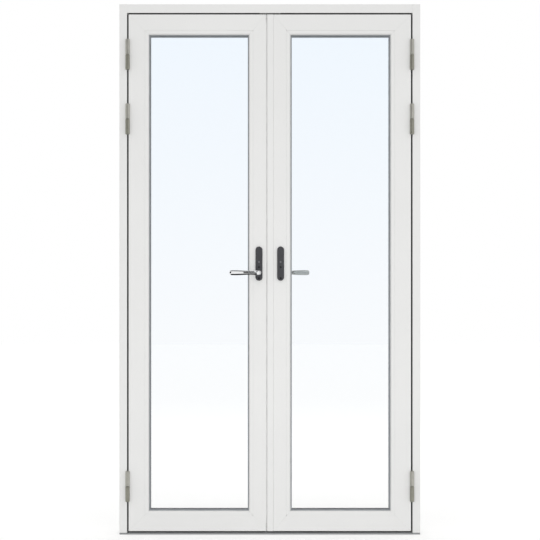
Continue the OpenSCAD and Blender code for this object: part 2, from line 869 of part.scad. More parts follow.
// A strip in the groove under the faceplate
module rod_strip(z0, z1) {
    block([lock_x - rod_u1, mid_y - rod_w / 2, z0], [lock_x - rod_u0, mid_y + rod_w / 2, z1]);
}

module shoot_bolt(z0) {
    translate([bolt_x, mid_y, z0]) cylinder(d = bolt_d, h = bolt_len);
}

// The upper rod is driven on the lock side of the pinion
module upper_rod(side) {
    low = -bolt_travel - rack_end;
    tip = leaf_z1 - top_bolt_set;
    color(steel_c) on_side(side) {
        union() {
            translate([lever_x + pitch_r, 0, lever_z]) mirror([1, 0, 0])
                rack(low, rack_end, backset - pitch_r - rod_u1 + EPS);
            rod_strip(lever_z + low, tip - bolt_len / 2);
            shoot_bolt(tip - bolt_len);
        }
    }
}

// The lower rod is driven on the far side, and a bridge under the pinion brings it back to the groove
module lower_rod(side) {
    back = tooth_ded + rack_back_t;
    x0 = lever_x - pitch_r - back;
    bridge_z = lever_z - bridge_drop;
    tip = leaf_z0 + sill_bolt_set;
    color(steel_c) on_side(side) {
        union() {
            translate([lever_x - pitch_r, 0, lever_z]) rack(-rack_end, bolt_travel + rack_end, back);
            block([x0, mid_y - gear_w / 2, bridge_z - bridge_h],
                  [x0 + rack_back_t, mid_y + gear_w / 2, lever_z - rack_end + EPS]);
            block([x0, mid_y - gear_w / 2, bridge_z - bridge_h],
                  [lock_x - rod_u0, mid_y + gear_w / 2, bridge_z]);
            rod_strip(tip + bolt_len / 2, bridge_z);
            shoot_bolt(tip);
        }
    }
}

jamb(LEFT);  // left_jamb
jamb(RIGHT);  // right_jamb
head();
sill();
frame_seal();
head_keep();
sill_keep();
frame_hinges(LEFT);  // left_frame_hinges
frame_hinges(RIGHT);  // right_frame_hinges
hinge_pins(LEFT);  // left_hinge_pins
hinge_pins(RIGHT);  // right_hinge_pins

hinge_stile(LEFT);  // left_hinge_stile
lock_stile(LEFT);  // left_lock_stile
top_rail(LEFT);  // left_top_rail
bottom_rail(LEFT);  // left_bottom_rail
glazing_beads(LEFT);  // left_glazing_beads
gaskets(LEFT);  // left_gaskets
outer_pane(LEFT);  // left_outer_pane
inner_pane(LEFT);  // left_inner_pane
spacer(LEFT);  // left_spacer
setting_blocks(LEFT);  // left_setting_blocks
leaf_hinges(LEFT);  // left_leaf_hinges
outer_plate(LEFT);  // left_outer_plate
inner_plate(LEFT);  // left_inner_plate
plate_screws(LEFT);  // left_plate_screws
gear_case(LEFT);  // left_gear_case
gear_cover(LEFT);  // left_gear_cover
faceplate(LEFT);  // left_faceplate

hinge_stile(RIGHT);  // right_hinge_stile
lock_stile(RIGHT);  // right_lock_stile
top_rail(RIGHT);  // right_top_rail
bottom_rail(RIGHT);  // right_bottom_rail
glazing_beads(RIGHT);  // right_glazing_beads
gaskets(RIGHT);  // right_gaskets
outer_pane(RIGHT);  // right_outer_pane
inner_pane(RIGHT);  // right_inner_pane
spacer(RIGHT);  // right_spacer
setting_blocks(RIGHT);  // right_setting_blocks
leaf_hinges(RIGHT);  // right_leaf_hinges
outer_plate(RIGHT);  // right_outer_plate
inner_plate(RIGHT);  // right_inner_plate
plate_screws(RIGHT);  // right_plate_screws
gear_case(RIGHT);  // right_gear_case
gear_cover(RIGHT);  // right_gear_cover
faceplate(RIGHT);  // right_faceplate
meeting_post();
meeting_seal();

outer_lever(LEFT);  // left_outer_lever
inner_lever(LEFT);  // left_inner_lever
spindle(LEFT);  // left_spindle
pinion(LEFT);  // left_pinion
inner_lever(RIGHT);  // right_inner_lever
spindle(RIGHT);  // right_spindle
pinion(RIGHT);  // right_pinion

upper_rod(LEFT);  // left_upper_rod
lower_rod(LEFT);  // left_lower_rod
upper_rod(RIGHT);  // right_upper_rod
lower_rod(RIGHT);  // right_lower_rod
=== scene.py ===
"""French doors in white lacquer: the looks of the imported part, piece by piece, and its studio."""

import json
import math

import bmesh
import bpy
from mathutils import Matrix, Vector

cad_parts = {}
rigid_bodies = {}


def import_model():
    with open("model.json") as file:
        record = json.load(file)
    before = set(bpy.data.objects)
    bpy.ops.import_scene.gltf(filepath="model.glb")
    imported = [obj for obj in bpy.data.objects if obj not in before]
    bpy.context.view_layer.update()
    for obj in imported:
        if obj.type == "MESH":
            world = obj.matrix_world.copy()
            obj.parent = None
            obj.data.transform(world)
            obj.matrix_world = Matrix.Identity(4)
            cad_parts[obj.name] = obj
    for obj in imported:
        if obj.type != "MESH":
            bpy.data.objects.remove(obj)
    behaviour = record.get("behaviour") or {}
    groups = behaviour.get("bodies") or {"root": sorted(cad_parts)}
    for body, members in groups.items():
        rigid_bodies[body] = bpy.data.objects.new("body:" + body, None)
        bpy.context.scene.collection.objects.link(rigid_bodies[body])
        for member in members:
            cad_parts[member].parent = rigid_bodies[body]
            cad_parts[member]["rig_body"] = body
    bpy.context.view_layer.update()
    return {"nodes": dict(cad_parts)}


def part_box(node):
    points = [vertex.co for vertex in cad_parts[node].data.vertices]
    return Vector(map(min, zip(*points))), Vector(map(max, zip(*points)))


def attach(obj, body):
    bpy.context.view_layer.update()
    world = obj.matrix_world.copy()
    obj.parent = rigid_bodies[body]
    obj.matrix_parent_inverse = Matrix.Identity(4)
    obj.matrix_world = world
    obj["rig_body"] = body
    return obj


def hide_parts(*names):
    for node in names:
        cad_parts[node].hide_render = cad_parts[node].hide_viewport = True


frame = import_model()

bl_info = {
    "name": "French Doors",
    "version": (1, 0, 0),
    "blender": (4, 5, 0),
    "location": "View3D > Sidebar > French Doors",
    "description": "Dresses a pair of glazed doors in lacquer, glass, steel and rubber",
    "category": "Object",
}

MM = 0.001
SIDES = ("left", "right")
# An edge is sharp when its faces turn by more than this, and a curve is smooth below it
SHARP = math.radians(32)
# Edges shorter than this belong to bores and teeth, and are left crisp
SHORTEST_EDGE = 9 * MM
# Steps across a rounded edge
ROUND_STEPS = 2
# Rim of a button: its width as a share of the diameter, and its height as a share of the button's
RIM_WIDTH = 0.08
RIM_HEIGHT = 0.6
# Sides of a button, and its depth as a multiple of how far it stands proud
BUTTON_SIDES = 32
BUTTON_DEPTH = 4
# A face looks one way when its normal's share in that direction is more than this
SAME_WAY = 0.9
# Points of a copied solid closer than this are one, and faces that turn by less are one flat face
MERGE = 0.002 * MM
FLAT = math.radians(0.5)


def linear(code):
    """An sRGB hex colour as linear RGBA."""
    channels = [int(code[i:i + 2], 16) / 255 for i in (1, 3, 5)]
    return [c / 12.92 if c <= 0.04045 else ((c + 0.055) / 1.055) ** 2.4 for c in channels] + [1.0]


def colour(name, description, code):
    """A colour setting with its default given as sRGB hex."""
    return bpy.props.FloatVectorProperty(
        name=name, description=description, default=linear(code), size=4, min=0, max=1, subtype="COLOR")


def length(name, description, millimetres):
    """A length setting with its default given in millimetres."""
    return bpy.props.FloatProperty(
        name=name, description=description, default=millimetres * MM, min=0,
        unit="LENGTH", subtype="DISTANCE")


class DoorFinishes(bpy.types.PropertyGroup):
    """Colours of the finishes."""

    lacquer: colour("Lacquer", "White paint of the frame and the leaves", "#ECECEB")
    sill: colour("Sill", "Anodised aluminium of the sill and the jambs' shoes", "#A3A5A6")
    seal: colour("Seal", "Rubber of the door seals", "#2E2F31")
    flap: colour("Flap", "Pale rubber of the seal between the leaves", "#E4E4E3")
    gasket: colour("Gasket", "Rubber lips round the glass", "#999DA1")
    hinge: colour("Hinge", "Satin plated steel of the leaves' hinge halves", "#B8B7AF")
    hinge_low: colour("Lower hinge", "Duller plated steel of the frame's hinge halves", "#9C9B90")
    lock: colour("Lock", "Plated steel of the lock works", "#B9BBBC")
    plate: colour("Plate", "Coating of the handle plates", "#3E3E42")
    screw: colour("Screw", "Blackened steel of the plates' screws", "#3A3A3C")
    spot: colour("Spot", "Button above the lever on each plate", "#8A8A8E")
    lever: colour("Lever", "Polished metal of the near lever", "#F0F1F2")
    # The far levers are satin, and their darker tint is painted shade for the shade that they stand in
    shaded_far_lever: colour("Far lever", "Satin metal of the levers on the far side", "#ABAEA9")
    spacer: colour("Spacer", "Bars between the panes", "#8A8E92")
    packer: colour("Packer", "Blocks under the panes", "#999DA1")
    # The cool tint at the top of a pane is a painted reflection of the sky
    glass_sky_reflection: colour("Glass, top", "Tint of one pane at its top, as of a sky behind it", "#F7FBFF")
    glass_bottom: colour("Glass, bottom", "Tint of one pane near the floor", "#FEFEFE")


class DoorSizes(bpy.types.PropertyGroup):
    """Sizes of what the solids leave out."""

    lacquer_round: length("Lacquer round", "Rounding that paint leaves on long edges", 0.5)
    metal_round: length("Metal round", "Rounding on the edges of the hinges and lock works", 0.35)
    rubber_round: length("Rubber round", "Rounding on the edges of seals and gaskets", 0.7)
    shoe: length("Shoe", "Height of the metal shoe under a jamb", 7)
    strip: length("Strip", "Thickness of the rubber that lines the reveals", 1.5)
    strip_inset: length("Strip inset", "From the face of the doors back to that rubber", 4)
    hinge_plate: length("Hinge plate", "Thickness of the hinge plates in the gap", 2.4)
    screw_head: length("Screw head", "Diameter of a screw's head on the hinges and the lock works", 8)
    screw_proud: length("Screw height", "How far such a screw's head stands proud", 0.25)
    socket: length("Socket", "Width across the flats of a screw's socket", 3.5)
    socket_depth: length("Socket depth", "Depth of the sockets in the plates' screws", 2)
    spot: length("Spot", "Diameter of the button on a handle plate", 7.2)
    spot_proud: length("Spot rise", "How far that button stands proud", 0.3)
    spot_rise: length("Spot height", "From the lever's axis up to that button", 42)
    bend: length("Lever bend", "Radius of a lever's bend", 10)


class DoorStudio(bpy.types.PropertyGroup):
    """Camera and light."""

    distance: bpy.props.FloatProperty(
        name="Distance", description="From the camera to the doors", default=5.8, min=1, unit="LENGTH")
    aside: length("Aside", "How far the camera stands to the right of the middle", 0.8)
    height: bpy.props.FloatProperty(
        name="Height", description="Height of the camera", default=1.0375, min=0, unit="LENGTH")
    view: bpy.props.FloatProperty(
        name="View", description="Width of what the camera sees at the doors", default=2.118, unit="LENGTH")
    key: bpy.props.FloatProperty(
        name="Key lamp", description="Power of the soft lamp in front", default=54, min=0, unit="POWER")
    low: bpy.props.FloatProperty(
        name="Low lamp", description="Power of the small lamp near the floor", default=1.2, min=0,
        unit="POWER")
    back: bpy.props.FloatProperty(
        name="Back lamp", description="Power of the soft lamp behind", default=18, min=0, unit="POWER")
    fill: bpy.props.FloatProperty(
        name="Fill light", description="Brightness of the room around the doors", default=0.8, min=0)
    floor: colour("Floor", "Pale floor", "#D9D9D8")
    floor_glow: bpy.props.FloatProperty(
        name="Floor glow", description="White added to the floor where it is seen", default=0.43, min=0)


class DoorSettings(bpy.types.PropertyGroup):
    """All the settings of the doors."""

    finishes: bpy.props.PointerProperty(type=DoorFinishes, name="Finishes", description="Colours")
    sizes: bpy.props.PointerProperty(type=DoorSizes, name="Sizes", description="Small sizes")
    studio: bpy.props.PointerProperty(type=DoorStudio, name="Studio", description="Camera and light")


# Material building

# Sockets of a Mix node that mixes colours
MIX_FACTOR, MIX_A, MIX_B, MIX_RESULT = 0, 6, 7, 2
# Most of a noise lies between these values
NOISE_SPAN = {"From Min": 0.3, "From Max": 0.7}


def grain(millimetres):
    """The scale of a noise whose lumps are about that wide."""
    return 1 / (millimetres * MM)


def darker(tint, share):
    """A colour less that share of its light."""
    return [channel * (1 - share) for channel in tint[:3]] + [1.0]


def add_node(tree, kind, inputs=None, **settings):
    """Adds a node with its settings. Each input takes a value, or links to the output of another node."""
    node = tree.nodes.new(kind)
    for name, value in settings.items():
        setattr(node, name, value)
    for name, value in (inputs or {}).items():
        if isinstance(value, bpy.types.NodeSocket):
            tree.links.new(value, node.inputs[name])
        else:
            node.inputs[name].default_value = value
    return node


def new_material(name):
    """An empty material, its nodes and the Object coordinates that its patterns read."""
    material = bpy.data.materials.new(name)
    material.use_nodes = True
    tree = material.node_tree
    tree.nodes.clear()
    return material, tree, add_node(tree, "ShaderNodeTexCoord").outputs["Object"]


def sprayed_lacquer(tint):
    # Two-pack lacquer sprayed on a smooth board: bright, half gloss, with a faint orange peel
    material, tree, place = new_material("sprayed_white_lacquer")
    clouds = add_node(tree, "ShaderNodeTexNoise", {"Vector": place, "Scale": grain(260)}).outputs["Fac"]
    tone = add_node(tree, "ShaderNodeMapRange", {"Value": clouds, **NOISE_SPAN})
    coat = add_node(tree, "ShaderNodeMix", {
        MIX_FACTOR: tone.outputs["Result"], MIX_A: darker(tint, 0.025), MIX_B: tint}, data_type="RGBA")
    gloss = add_node(tree, "ShaderNodeMapRange", {
        "Value": clouds, **NOISE_SPAN, "To Min": 0.34, "To Max": 0.42})
    # Real peel is finer, and is drawn this coarse so that it shows
    peel = add_node(tree, "ShaderNodeTexNoise", {"Vector": place, "Scale": grain(3.5), "Detail": 3})
    bump = add_node(tree, "ShaderNodeBump", {
        "Height": peel.outputs["Fac"], "Distance": 0.03 * MM, "Strength": 0.4})
    shader = add_node(tree, "ShaderNodeBsdfPrincipled", {
        "Base Color": coat.outputs[MIX_RESULT], "Roughness": gloss.outputs["Result"],
        "Normal": bump.outputs["Normal"], "IOR": 1.48})
    add_node(tree, "ShaderNodeOutputMaterial", {"Surface": shader.outputs["BSDF"]})
    return material


def anodised_aluminium(tint):
    # Extruded aluminium, brushed along its length and anodised grey: a dull metal with fine streaks
    material, tree, place = new_material("grey_anodised_aluminium")
    # Streaks coarser than real brushing, so that they show
    drawn = add_node(tree, "ShaderNodeMapping", {
        "Vector": place, "Scale": (grain(90), grain(0.8), grain(0.8))})
    streaks = add_node(tree, "ShaderNodeTexNoise", {
        "Vector": drawn.outputs["Vector"], "Scale": 1.0}).outputs["Fac"]
    tone = add_node(tree, "ShaderNodeMapRange", {"Value": streaks, **NOISE_SPAN})
    metal = add_node(tree, "ShaderNodeMix", {
        MIX_FACTOR: tone.outputs["Result"], MIX_A: darker(tint, 0.18), MIX_B: tint}, data_type="RGBA")
    gloss = add_node(tree, "ShaderNodeMapRange", {
        "Value": streaks, **NOISE_SPAN, "To Min": 0.36, "To Max": 0.5})
    bump = add_node(tree, "ShaderNodeBump", {"Height": streaks, "Distance": 0.05 * MM, "Strength": 0.5})
    shader = add_node(tree, "ShaderNodeBsdfPrincipled", {
        "Base Color": metal.outputs[MIX_RESULT], "Roughness": gloss.outputs["Result"],
        "Normal": bump.outputs["Normal"], "Metallic": 0.85})
    add_node(tree, "ShaderNodeOutputMaterial", {"Surface": shader.outputs["BSDF"]})
    return material


def extruded_rubber(name, tint, roughness):
    # Extruded EPDM: matt, a little dusty, with a fine skin
    material, tree, place = new_material(name)
    dust = add_node(tree, "ShaderNodeTexNoise", {"Vector": place, "Scale": grain(40)})
    tone = add_node(tree, "ShaderNodeMapRange", {"Value": dust.outputs["Fac"], **NOISE_SPAN})
    rubber = add_node(tree, "ShaderNodeMix", {
        MIX_FACTOR: tone.outputs["Result"], MIX_A: darker(tint, 0.15), MIX_B: tint}, data_type="RGBA")
    # Coarser than the real skin, so that it shows
    skin = add_node(tree, "ShaderNodeTexNoise", {"Vector": place, "Scale": grain(1.2)})
    bump = add_node(tree, "ShaderNodeBump", {
        "Height": skin.outputs["Fac"], "Distance": 0.05 * MM, "Strength": 0.5})
    shader = add_node(tree, "ShaderNodeBsdfPrincipled", {
        "Base Color": rubber.outputs[MIX_RESULT], "Roughness": roughness,
        "Normal": bump.outputs["Normal"], "IOR": 1.52})
    add_node(tree, "ShaderNodeOutputMaterial", {"Surface": shader.outputs["BSDF"]})
    return material


def plated_steel(name, tint, roughness, streak):
    # Plated steel, drawn or rolled: a satin metal with streaks along its length and a cloudy plating
    material, tree, place = new_material(name)
    clouds = add_node(tree, "ShaderNodeTexNoise", {"Vector": place, "Scale": grain(18)})
    tone = add_node(tree, "ShaderNodeMapRange", {"Value": clouds.outputs["Fac"], **NOISE_SPAN})
    metal = add_node(tree, "ShaderNodeMix", {
        MIX_FACTOR: tone.outputs["Result"], MIX_A: darker(tint, 0.14), MIX_B: tint}, data_type="RGBA")
    # Streaks coarser than real drawing marks, so that they show
    drawn = add_node(tree, "ShaderNodeMapping", {
        "Vector": place, "Scale": [grain(size) for size in streak]})
    streaks = add_node(tree, "ShaderNodeTexNoise", {
        "Vector": drawn.outputs["Vector"], "Scale": 1.0}).outputs["Fac"]
    gloss = add_node(tree, "ShaderNodeMapRange", {
        "Value": streaks, **NOISE_SPAN, "To Min": roughness, "To Max": roughness + 0.1})
    bump = add_node(tree, "ShaderNodeBump", {"Height": streaks, "Distance": 0.03 * MM, "Strength": 0.4})
    shader = add_node(tree, "ShaderNodeBsdfPrincipled", {
        "Base Color": metal.outputs[MIX_RESULT], "Roughness": gloss.outputs["Result"],
        "Normal": bump.outputs["Normal"], "Metallic": 1.0})
    add_node(tree, "ShaderNodeOutputMaterial", {"Surface": shader.outputs["BSDF"]})
    return material


def coated_plate(tint):
    # Die-cast plate with a dark grey powder coat: half matt, with a sand-like texture
    material, tree, place = new_material("dark_powder_coat")
    clouds = add_node(tree, "ShaderNodeTexNoise", {"Vector": place, "Scale": grain(25)})
    tone = add_node(tree, "ShaderNodeMapRange", {"Value": clouds.outputs["Fac"], **NOISE_SPAN})
    coat = add_node(tree, "ShaderNodeMix", {
        MIX_FACTOR: tone.outputs["Result"], MIX_A: darker(tint, 0.12), MIX_B: tint}, data_type="RGBA")
    # Coarser than real powder, so that it shows
    grit = add_node(tree, "ShaderNodeTexNoise", {
        "Vector": place, "Scale": grain(1.4), "Detail": 3}).outputs["Fac"]
    gloss = add_node(tree, "ShaderNodeMapRange", {
        "Value": grit, **NOISE_SPAN, "To Min": 0.4, "To Max": 0.55})
    bump = add_node(tree, "ShaderNodeBump", {"Height": grit, "Distance": 0.08 * MM, "Strength": 0.6})
    shader = add_node(tree, "ShaderNodeBsdfPrincipled", {
        "Base Color": coat.outputs[MIX_RESULT], "Roughness": gloss.outputs["Result"],
        "Normal": bump.outputs["Normal"]})
    add_node(tree, "ShaderNodeOutputMaterial", {"Surface": shader.outputs["BSDF"]})
    return material


def polished_metal(name, tint, roughness):
    # Cast and plated lever: a near mirror where polished and softer where satin, with a slight haze where
    # hands rub it.
    # The satin far levers also get a darker tint, which is painted shade
    material, tree, place = new_material(name)
    haze = add_node(tree, "ShaderNodeTexNoise", {"Vector": place, "Scale": grain(14)}).outputs["Fac"]
    tone = add_node(tree, "ShaderNodeMapRange", {"Value": haze, **NOISE_SPAN})
    metal = add_node(tree, "ShaderNodeMix", {
        MIX_FACTOR: tone.outputs["Result"], MIX_A: darker(tint, 0.06), MIX_B: tint}, data_type="RGBA")
    gloss = add_node(tree, "ShaderNodeMapRange", {
        "Value": haze, **NOISE_SPAN, "To Min": roughness, "To Max": roughness + 0.06})
    shader = add_node(tree, "ShaderNodeBsdfPrincipled", {
        "Base Color": metal.outputs[MIX_RESULT], "Roughness": gloss.outputs["Result"], "Metallic": 1.0})
    add_node(tree, "ShaderNodeOutputMaterial", {"Surface": shader.outputs["BSDF"]})
    return material


def float_glass(bottom_tint, sky_reflection_tint):
    # Clear float glass: no colour of its own near the floor, and a cool tint towards the top that is a
    # painted reflection of the sky
    material, tree, place = new_material("clear_float_glass")
    low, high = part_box("left_outer_pane")
    height = add_node(tree, "ShaderNodeSeparateXYZ", {"Vector": place})
    rise = add_node(tree, "ShaderNodeMapRange", {
        "Value": height.outputs["Z"], "From Min": low.z, "From Max": high.z})
    # Painted reflection: the pane's colour turns to the sky's cool tint towards its top
    glass = add_node(tree, "ShaderNodeMix", {
        MIX_FACTOR: rise.outputs["Result"], MIX_A: bottom_tint, MIX_B: sky_reflection_tint}, data_type="RGBA")
    shader = add_node(tree, "ShaderNodeBsdfPrincipled", {
        "Base Color": glass.outputs[MIX_RESULT], "Roughness": 0.0, "IOR": 1.5, "Transmission Weight": 1.0})
    add_node(tree, "ShaderNodeOutputMaterial", {"Surface": shader.outputs["BSDF"]})
    return material


def moulded_plastic(name, tint):
    # Moulded or drawn plastic of the spacer bars and packers: waxy and slightly uneven
    material, tree, place = new_material(name)
    clouds = add_node(tree, "ShaderNodeTexNoise", {"Vector": place, "Scale": grain(12)}).outputs["Fac"]
    tone = add_node(tree, "ShaderNodeMapRange", {"Value": clouds, **NOISE_SPAN})
    plastic = add_node(tree, "ShaderNodeMix", {
        MIX_FACTOR: tone.outputs["Result"], MIX_A: darker(tint, 0.15), MIX_B: tint}, data_type="RGBA")
    gloss = add_node(tree, "ShaderNodeMapRange", {
        "Value": clouds, **NOISE_SPAN, "To Min": 0.48, "To Max": 0.58})
    shader = add_node(tree, "ShaderNodeBsdfPrincipled", {
        "Base Color": plastic.outputs[MIX_RESULT], "Roughness": gloss.outputs["Result"]})
    add_node(tree, "ShaderNodeOutputMaterial", {"Surface": shader.outputs["BSDF"]})
    return material


# Each finish: its slot in the record, and how its material is made from the colours.
# A number after a colour is its roughness, and streaks are millimetres along X, Y and Z.
FINISHES = {
    "lacquer": ("white_lacquer", lambda tints: sprayed_lacquer(tints.lacquer)),
    "sill": ("sill_aluminium", lambda tints: anodised_aluminium(tints.sill)),
    "seal": ("seal_rubber", lambda tints: extruded_rubber("black_epdm_rubber", tints.seal, 0.7)),
    "flap": ("seal_rubber", lambda tints: extruded_rubber("pale_flap_rubber", tints.flap, 0.6)),
    "gasket": ("seal_rubber", lambda tints: extruded_rubber("grey_glazing_rubber", tints.gasket, 0.6)),
    "hinge": ("hinge_steel", lambda tints: plated_steel(
        "satin_hinge_steel", tints.hinge, 0.34, (1.2, 1.2, 30))),
    "hinge_low": ("hinge_steel", lambda tints: plated_steel(
        "dull_hinge_steel", tints.hinge_low, 0.38, (1.2, 1.2, 30))),
    "lock": ("lock_steel", lambda tints: plated_steel(
        "zinc_plated_steel", tints.lock, 0.3, (1.5, 1.5, 40))),
    "screw": ("lock_steel", lambda tints: plated_steel(
        "blackened_screw_steel", tints.screw, 0.42, (2, 2, 2))),
    "plate": ("handle_plate", lambda tints: coated_plate(tints.plate)),
    "spot": ("handle_plate", lambda tints: plated_steel("dull_button_steel", tints.spot, 0.45, (2, 2, 2))),
    "lever": ("lever_chrome", lambda tints: polished_metal("polished_lever_metal", tints.lever, 0.05)),
    # Painted shade: the far levers' metal is tinted darker than the near lever's because they stand in
    # shade
    "shaded_far_lever": ("lever_chrome", lambda tints: polished_metal("satin_shaded_lever_metal", tints.shaded_far_lever, 0.26)),
    "glass": ("glass", lambda tints: float_glass(tints.glass_bottom, tints.glass_sky_reflection)),
    "spacer": ("spacer", lambda tints: moulded_plastic("drawn_spacer_plastic", tints.spacer)),
    "packer": ("block_plastic", lambda tints: moulded_plastic("moulded_packer_plastic", tints.packer)),
}
made_materials = {}


def finish(name):
    """The material of that finish, made once."""
    if name not in made_materials:
        make = FINISHES[name][1]
        made_materials[name] = make(bpy.context.scene.french_doors.finishes)
    return made_materials[name]


# Piece building


def only(piece):
    """Selects one object and nothing else."""
    bpy.ops.object.select_all(action="DESELECT")
    piece.select_set(True)
    bpy.context.view_layer.objects.active = piece


def edit(piece):
    """Opens a piece in edit mode with everything selected."""
    only(piece)
    bpy.ops.object.mode_set(mode="EDIT")
    bpy.ops.mesh.select_all(action="SELECT")


def close():
    """Leaves edit mode."""
    bpy.ops.object.mode_set(mode="OBJECT")


def body_of(node):
    """The body that a CAD node rides on."""
    return frame["nodes"][node]["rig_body"]


def copy_of(node, name):
    """A copy of a CAD node, merged into one skin with flat faces."""
    piece = bpy.data.objects.new(name, frame["nodes"][node].data.copy())
    bpy.context.scene.collection.objects.link(piece)
    edit(piece)
    bpy.ops.mesh.customdata_custom_splitnormals_clear()
    bpy.ops.mesh.remove_doubles(threshold=MERGE)
    bpy.ops.mesh.dissolve_limited(angle_limit=FLAT)
    close()
    return piece


def select_facing(piece, facing):
    """In edit mode, selects the faces that look one way and nothing else."""
    bpy.ops.mesh.select_all(action="DESELECT")
    mesh = bmesh.from_edit_mesh(piece.data)
    for face in mesh.faces:
        face.select_set(face.normal.dot(facing) > SAME_WAY)
    bmesh.update_edit_mesh(piece.data)


def soften(piece, width):
    """Rounds the long outer edges of a piece."""
    edit(piece)
    bpy.ops.mesh.select_all(action="DESELECT")
    mesh = bmesh.from_edit_mesh(piece.data)
    for edge in mesh.edges:
        long = edge.calc_length() > SHORTEST_EDGE
        edge.select_set(edge.is_manifold and edge.is_convex and long and edge.calc_face_angle() > SHARP)
    bmesh.update_edit_mesh(piece.data)
    bpy.ops.mesh.bevel(offset=width, segments=ROUND_STEPS, affect="EDGES", clamp_overlap=True)
    close()


def smooth(piece):
    """Shades curves smooth and keeps the sharp edges, with flat faces staying flat."""
    only(piece)
    bpy.ops.object.shade_smooth_by_angle(angle=SHARP)
    bpy.ops.object.modifier_add(type="WEIGHTED_NORMAL")
    piece.modifiers[-1].keep_sharp = True
    bpy.ops.object.modifier_apply(modifier=piece.modifiers[-1].name)


def paint(piece, finish_name):
    """Gives a piece one finish."""
    piece.data.materials.clear()
    piece.data.materials.append(finish(finish_name))


def mount(piece, body, finish_name, *nodes):
    """Paints a piece, sets it on its body and lets it stand for CAD nodes."""
    paint(piece, finish_name)
    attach(piece, body)
    if nodes:
        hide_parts(*nodes)


def dress(node, finish_name, width):
    """Replaces a CAD node by a softened copy in its finish."""
    piece = copy_of(node, node + "_finished")
    if width:
        soften(piece, width)
    smooth(piece)
    mount(piece, body_of(node), finish_name, node)
    return piece


def join(pieces, name):
    """Makes several meshes one piece."""
    only(pieces[0])
    for piece in pieces:
        piece.select_set(True)
    bpy.ops.object.join()
    pieces[0].name = name
    return pieces[0]


def settle(piece):
    """Puts a piece's place into its mesh, so that the object sits at the origin."""
    only(piece)
    bpy.ops.object.transform_apply(location=True, rotation=True, scale=True)


def islands(piece):
    """The boxes of the separate solids in a piece."""
    mesh = bmesh.new()
    mesh.from_mesh(piece.data)
    waiting = set(mesh.verts)
    boxes = []
    while waiting:
        todo = [waiting.pop()]
        points = []
        while todo:
            vertex = todo.pop()
            points.append(vertex.co.copy())
            near = {edge.other_vert(vertex) for edge in vertex.link_edges} & waiting
            waiting -= near
            todo.extend(near)
        boxes.append([Vector(limit(p[i] for p in points) for i in range(3)) for limit in (min, max)])
    mesh.free()
    return boxes


def turned_to(facing):
    """The turn that lays a cylinder's axis along X, Y or Z."""
    return (math.pi / 2 if facing.y else 0, math.pi / 2 if facing.x else 0, 0)


def button(facing, diameter, proud):
    """A round button with a stepped, slightly raised face, its seat at the origin."""
    depth = BUTTON_DEPTH * proud
    bpy.ops.object.select_all(action="DESELECT")
    bpy.ops.mesh.primitive_cylinder_add(
        vertices=BUTTON_SIDES, radius=diameter / 2, depth=depth,
        location=facing * (proud * RIM_HEIGHT - depth / 2), rotation=turned_to(facing))
    piece = bpy.context.object
    settle(piece)
    edit(piece)
    select_facing(piece, facing)
    bpy.ops.mesh.inset(thickness=diameter * RIM_WIDTH)
    bpy.ops.transform.translate(value=facing * proud * (1 - RIM_HEIGHT))
    close()
    return piece


def cut_socket(piece, centre, facing, width, depth):
    """Cuts a hexagonal socket into a screw head."""
    bpy.ops.object.select_all(action="DESELECT")
    bpy.ops.mesh.primitive_cylinder_add(
        vertices=6, radius=width / math.sqrt(3), depth=2 * depth, location=centre,
        rotation=turned_to(facing))
    cutter = bpy.context.object
    settle(cutter)
    only(piece)
    bpy.ops.object.modifier_add(type="BOOLEAN")
    piece.modifiers[-1].object = cutter
    bpy.ops.object.modifier_apply(modifier=piece.modifiers[-1].name)
    bpy.data.objects.remove(cutter)


def screw(facing, sizes):
    """A flat screw head with a hexagonal socket, its seat at the origin."""
    head = button(facing, sizes.screw_head, sizes.screw_proud)
    cut_socket(head, Vector((0, 0, 0)), facing, sizes.socket, 2 * sizes.screw_proud)
    return head


def repeat(piece, points, name):
    """Copies a piece made at the origin to each point, as one piece."""
    copies = []
    for point in points:
        only(piece)
        bpy.ops.object.duplicate()
        copy = bpy.context.object
        copy.location = point
        settle(copy)
        copies.append(copy)
    bpy.data.objects.remove(piece)
    return join(copies, name)


# Operators


class FRENCHDOORS_OT_frame_members(bpy.types.Operator):
    """Jambs and head in lacquer, the jambs' metal shoes and the brushed sill"""

    bl_idname = "frenchdoors.frame_members"
    bl_label = "Frame Members"

    def cut_at(self, piece, height, keep_above):
        """Keeps what lies above or below a level, with the cut closed."""
        edit(piece)
        bpy.ops.mesh.bisect(
            plane_co=(0, 0, height), plane_no=(0, 0, 1), use_fill=True,
            clear_inner=keep_above, clear_outer=not keep_above)
        close()

    def jamb(self, node, sizes):
        """A lacquered jamb that stands on a metal shoe in line with the sill."""
        post = copy_of(node, node + "_finished")
        self.cut_at(post, sizes.shoe, True)
        soften(post, sizes.lacquer_round)
        smooth(post)
        mount(post, body_of(node), "lacquer", node)
        shoe = copy_of(node, node + "_shoe")
        self.cut_at(shoe, sizes.shoe, False)
        soften(shoe, sizes.metal_round)
        smooth(shoe)
        mount(shoe, body_of(node), "sill")

    def execute(self, context):
        sizes = context.scene.french_doors.sizes
        for side in SIDES:
            self.jamb(f"{side}_jamb", sizes)
        dress("head", "lacquer", sizes.lacquer_round)
        dress("sill", "sill", sizes.metal_round)
        return {"FINISHED"}


class FRENCHDOORS_OT_leaf_members(bpy.types.Operator):
    """Stiles, rails, glazing beads and the meeting post in lacquer"""

    bl_idname = "frenchdoors.leaf_members"
    bl_label = "Leaf Members"

    def execute(self, context):
        sizes = context.scene.french_doors.sizes
        for side in SIDES:
            for member in ("hinge_stile", "lock_stile", "top_rail", "bottom_rail", "glazing_beads"):
                dress(f"{side}_{member}", "lacquer", sizes.lacquer_round)
        dress("meeting_post", "lacquer", sizes.lacquer_round)
        return {"FINISHED"}


